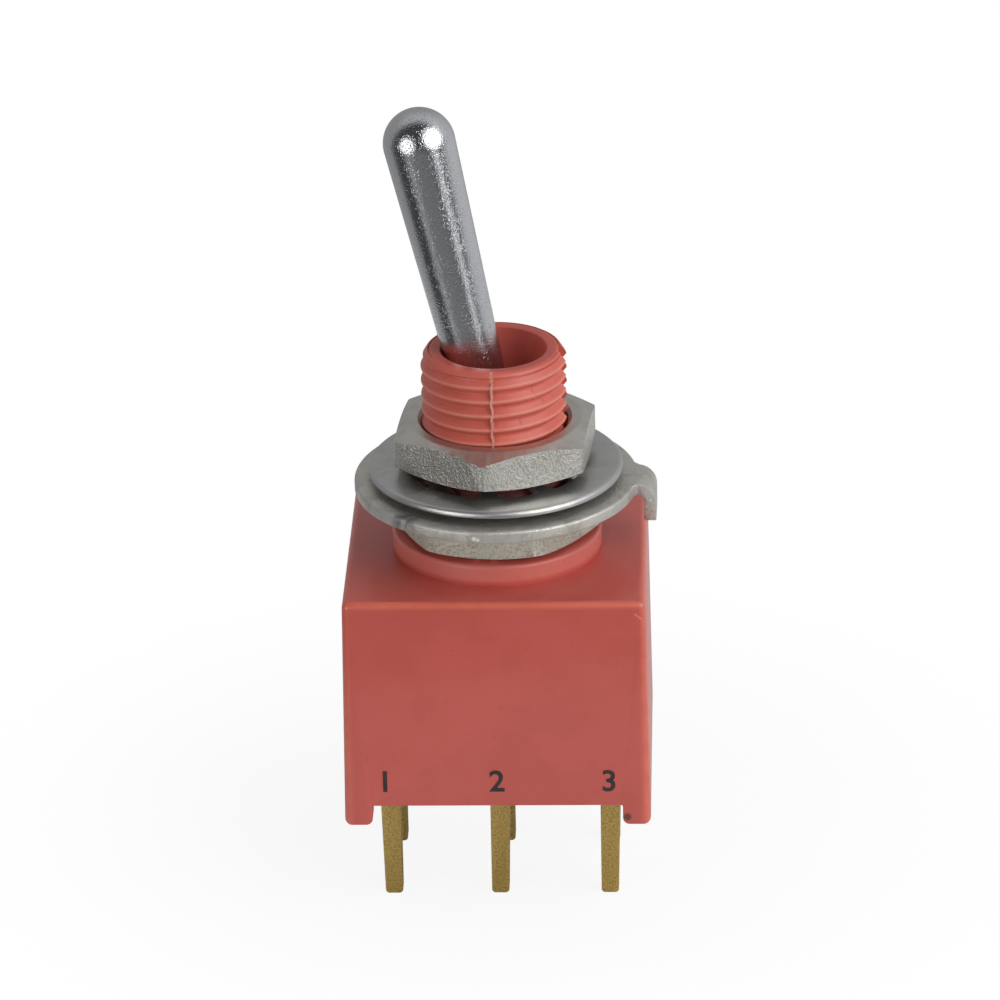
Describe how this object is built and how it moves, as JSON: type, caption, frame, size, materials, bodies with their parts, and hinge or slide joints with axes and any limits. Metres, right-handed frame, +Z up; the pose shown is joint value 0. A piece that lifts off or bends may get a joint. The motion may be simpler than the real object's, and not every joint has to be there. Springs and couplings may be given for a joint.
{
  "type": "miniature toggle switch",
  "caption": "Sealed miniature toggle switch: red moulded case with a threaded bushing, chromed bat lever, hex nuts, lock washer, keyed locating ring and circuit-board pins.",
  "frame": {"origin": "middle of the pin pattern and of the bushing's axis, on the board's upper face, where the case's two rails stand", "axes": "+X the way the lever throws, +Y to the back, +Z up along the bushing's axis"},
  "size_m": [0.0132, 0.0122, 0.0348],
  "materials": {
    "red_plastic": "fine satin moulded surface",
    "chrome": "polished chrome plate",
    "nickel": "dull nickel plate, slightly frosted",
    "steel": "bright drawn steel",
    "gold": "gold-coloured plate on brass",
    "silver": "silver-faced contact strip",
    "rubber": "smooth black rubber",
    "nylon": "natural nylon",
    "black_plastic": "black moulded base",
    "resin": "dark poured resin"
  },
  "bodies": {
    "switch_body": {"housing": "red_plastic", "upper_nut": "nickel", "lock_washer": "nickel", "locating_ring": "nickel", "lower_nut": "nickel", "terminal_front_left": "gold", "terminal_front_common": "gold", "terminal_front_right": "gold", "terminal_rear_left": "gold", "terminal_rear_common": "gold", "terminal_rear_right": "gold", "terminal_base": "black_plastic", "terminal_seal": "resin"},
    "lever": {"toggle_lever": "chrome", "pivot_pin": "steel", "lever_o_ring": "rubber", "actuator": "nylon", "plunger_spring_front": "steel", "plunger_spring_rear": "steel"},
    "front_plunger": {"plunger_front": "gold"},
    "rear_plunger": {"plunger_rear": "gold"},
    "front_rocker": {"rocker_front": "silver"},
    "rear_rocker": {"rocker_rear": "silver"}
  },
  "joints": [
    {"name": "lever_tilt", "type": "hinge", "parent": "switch_body", "child": "lever", "pos_m": [0, 0, 0.01485], "axis": [0, 1, 0], "range_deg": [0, 24]},
    {"name": "front_plunger_slide", "type": "slide", "parent": "lever", "child": "front_plunger", "axis": [-0.2079, 0, 0.9781], "range_m": [0, 0.0004], "stiffness_N_per_m": 300, "springref_m": -0.002, "deforming": ["plunger_spring_front"]},
    {"name": "rear_plunger_slide", "type": "slide", "parent": "lever", "child": "rear_plunger", "axis": [-0.2079, 0, 0.9781], "range_m": [0, 0.0004], "stiffness_N_per_m": 300, "springref_m": -0.002, "deforming": ["plunger_spring_rear"]},
    {"name": "front_rocker_tilt", "type": "hinge", "parent": "switch_body", "child": "front_rocker", "pos_m": [0, -0.00242, 0.00403], "axis": [0, 1, 0], "range_deg": [-14, 0]},
    {"name": "rear_rocker_tilt", "type": "hinge", "parent": "switch_body", "child": "rear_rocker", "pos_m": [0, 0.00242, 0.00403], "axis": [0, 1, 0], "range_deg": [-14, 0]}
  ],
  "couplings": [
    {"joint": "front_rocker_tilt", "follows": "lever_tilt", "ratio": -0.5833},
    {"joint": "rear_rocker_tilt", "follows": "lever_tilt", "ratio": -0.5833}
  ]
}
